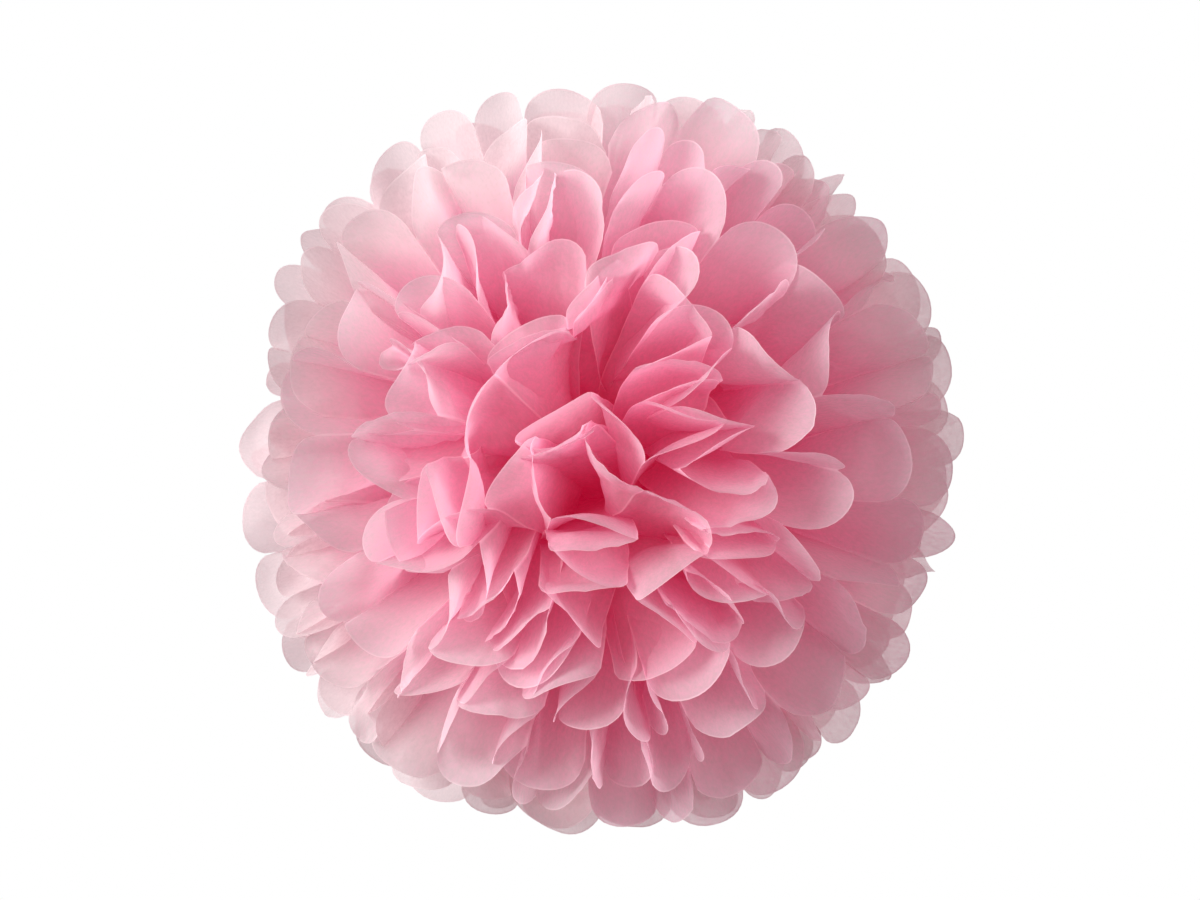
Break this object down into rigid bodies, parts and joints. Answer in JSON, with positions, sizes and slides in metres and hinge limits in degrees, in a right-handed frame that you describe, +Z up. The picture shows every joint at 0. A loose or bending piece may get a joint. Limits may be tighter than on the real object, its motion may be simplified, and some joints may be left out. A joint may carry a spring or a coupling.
{
  "type": "tissue paper pom pom",
  "caption": "Hanging ball of pleated tissue paper sheets, gathered by a wire at the middle and opened into overlapping round-ended petals.",
  "frame": {"origin": "middle of the tie, where the wire grips the pleated bundle at the centre of the ball", "axes": "-Y towards the front pole of the ball, the side seen when it hangs, +Z up along the hanging thread and the seam between the wings, +X along the pleated strip to the right"},
  "size_m": [0.2365, 0.2396, 0.2509],
  "materials": {
    "tissue": "matt, see-through tissue",
    "wire": "bright drawn wire"
  },
  "bodies": {
    "root": {"tissue_sheet_front_1": "tissue", "tissue_sheet_front_2": "tissue", "tissue_sheet_front_3": "tissue", "tissue_sheet_front_4": "tissue", "tissue_sheet_front_5": "tissue", "tissue_sheet_front_6": "tissue", "tissue_sheet_back_1": "tissue", "tissue_sheet_back_2": "tissue", "tissue_sheet_back_3": "tissue", "tissue_sheet_back_4": "tissue", "tissue_sheet_back_5": "tissue", "tissue_sheet_back_6": "tissue", "tie_wire": "wire"}
  },
  "joints": []
}
